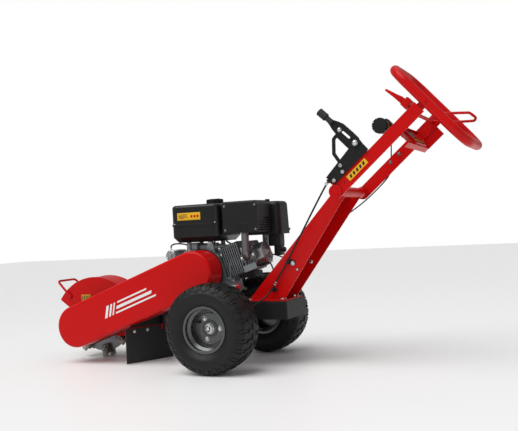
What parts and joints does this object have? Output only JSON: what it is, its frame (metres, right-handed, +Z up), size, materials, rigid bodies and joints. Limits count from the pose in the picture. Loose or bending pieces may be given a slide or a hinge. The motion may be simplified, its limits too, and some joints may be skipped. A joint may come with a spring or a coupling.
{
  "type": "stump grinder",
  "caption": "Walk-behind stump grinder: toothed cutter disc under an arched housing, belt guard, upright engine, two pneumatic tyres, raked handle with a loop grip.",
  "frame": {"origin": "on the floor, under the middle of the machine's outline", "axes": "+Z up, -X towards the cutter at the front, -Y the left side with the belt guard"},
  "size_m": [2.2456, 0.7974, 1.2996],
  "materials": {
    "red_paint": "gloss",
    "black_paint": "satin",
    "zinc_steel": "satin",
    "dark_steel": "satin",
    "rim_silver": "satin",
    "casting": "cast",
    "cast_iron": "cast",
    "tyre": "moulded",
    "rubber": "moulded",
    "black_plastic": "textured",
    "red_plastic": "gloss",
    "ceramic_white": "gloss",
    "carbide": "matte"
  },
  "bodies": {
    "chassis": {"main_frame": "black_paint", "engine_plate": "black_paint", "rear_bumper": "black_paint", "axle": "black_paint", "cutter_housing": "red_paint", "lift_bail": "red_paint", "flap_straps": "red_paint", "rubber_flaps": "rubber", "frame_bolts": "zinc_steel", "belt_guard": "red_paint", "guard_back_plate": "black_paint", "shaft_bearings": "cast_iron", "lower_handle": "red_paint", "cable_clamp": "black_plastic", "brake_cable": "rubber", "throttle_cable": "rubber", "crankcase": "casting", "side_cover": "casting", "cylinder": "casting", "cylinder_head": "casting", "valve_cover": "casting", "muffler": "dark_steel", "muffler_guard": "black_paint", "air_cleaner_base": "black_plastic", "air_cleaner_cover": "black_plastic", "carburettor": "casting", "fuel_tank": "black_paint", "recoil_housing": "black_paint", "starter_motor": "zinc_steel", "spark_plug": "ceramic_white", "drive_belts": "rubber"},
    "wheel_left": {"rim_left": "rim_silver", "tyre_left": "tyre"},
    "wheel_right": {"rim_right": "rim_silver", "tyre_right": "tyre"},
    "cutter": {"cutter_shaft": "dark_steel", "driven_pulley": "cast_iron", "cutter_disc": "dark_steel", "tooth_holders": "dark_steel", "cutter_teeth": "carbide"},
    "crank": {"crankshaft": "dark_steel", "drive_pulley": "cast_iron", "flywheel_fan": "cast_iron"},
    "handle": {"handle_bars": "red_paint", "loop_handle": "red_paint", "console_panel": "red_paint", "control_pod": "black_plastic", "brake_bracket": "black_paint", "handle_bolts": "zinc_steel"},
    "brake_lever_body": {"brake_lever": "black_paint", "brake_grip": "rubber"},
    "brake_arm_body": {"brake_arm": "zinc_steel"},
    "presence_bail_body": {"presence_bail": "red_paint"},
    "control_knob_body": {"control_knob": "black_plastic"},
    "throttle_lever_body": {"throttle_lever": "zinc_steel"},
    "choke_lever_body": {"choke_lever": "black_plastic"},
    "engine_switch_body": {"engine_switch": "black_plastic"},
    "fuel_cap_body": {"fuel_cap": "black_plastic"},
    "dipstick_body": {"dipstick": "red_plastic"},
    "recoil_grip_body": {"recoil_grip": "black_plastic"}
  },
  "joints": [
    {"name": "wheel_left_spin", "type": "hinge", "parent": "chassis", "child": "wheel_left", "pos_m": [-0.03152, -0.3057, 0.203], "axis": [0, 1, 0], "continuous": true},
    {"name": "wheel_right_spin", "type": "hinge", "parent": "chassis", "child": "wheel_right", "pos_m": [-0.03152, 0.3057, 0.203], "axis": [0, 1, 0], "continuous": true},
    {"name": "cutter_spin", "type": "hinge", "parent": "chassis", "child": "cutter", "pos_m": [-0.88092, 0.047, 0.1874], "axis": [0, 1, 0], "continuous": true},
    {"name": "crank_spin", "type": "hinge", "parent": "chassis", "child": "crank", "pos_m": [-0.18462, 0, 0.4415], "axis": [0, 1, 0], "continuous": true},
    {"name": "handle_fold", "type": "hinge", "parent": "chassis", "child": "handle", "pos_m": [0.54678, 0, 0.7771], "axis": [0, 1, 0], "range_deg": [-60, 25], "deforming": ["brake_cable", "throttle_cable"]},
    {"name": "brake_lever", "type": "hinge", "parent": "handle", "child": "brake_lever_body", "pos_m": [0.65238, -0.2028, 0.97408], "axis": [0, 1, 0], "range_deg": [-50, 0]},
    {"name": "brake_arm", "type": "hinge", "parent": "chassis", "child": "brake_arm_body", "pos_m": [0.00248, -0.225, 0.237], "axis": [0, 1, 0], "range_deg": [0, 15]},
    {"name": "presence_bail", "type": "hinge", "parent": "handle", "child": "presence_bail_body", "pos_m": [0.89635, 0, 1.07916], "axis": [0, 1, 0], "range_deg": [-12, 12], "stiffness_Nm_per_rad": 6},
    {"name": "control_knob", "type": "hinge", "parent": "handle", "child": "control_knob_body", "pos_m": [0.74974, -0.16, 1.04235], "axis": [0, 1, 0], "range_deg": [0, 300]},
    {"name": "throttle_lever", "type": "hinge", "parent": "chassis", "child": "throttle_lever_body", "pos_m": [0.03248, 0.106, 0.528], "axis": [0, 0, 1], "range_deg": [0, 55]},
    {"name": "choke_lever", "type": "hinge", "parent": "chassis", "child": "choke_lever_body", "pos_m": [0.02648, 0.137, 0.491], "axis": [0, 1, 0], "range_deg": [-55, 0]},
    {"name": "engine_switch", "type": "hinge", "parent": "chassis", "child": "engine_switch_body", "pos_m": [-0.29752, 0.173, 0.518], "axis": [1, 0, 0], "range_deg": [0, 90]},
    {"name": "fuel_cap", "type": "hinge", "parent": "chassis", "child": "fuel_cap_body", "pos_m": [-0.15952, 0.024, 0.78], "axis": [0, 0, 1], "range_deg": [0, 90]},
    {"name": "dipstick", "type": "slide", "parent": "chassis", "child": "dipstick_body", "axis": [1, 0, 0], "range_m": [0, 0.06]},
    {"name": "recoil_grip", "type": "slide", "parent": "chassis", "child": "recoil_grip_body", "axis": [1, 0, 0], "range_m": [0, 0.45], "stiffness_N_per_m": 20, "springref_m": -0.1}
  ],
  "couplings": [
    {"joint": "crank_spin", "follows": "cutter_spin", "ratio": 1.2308},
    {"joint": "brake_arm", "follows": "brake_lever", "ratio": -0.24}
  ]
}
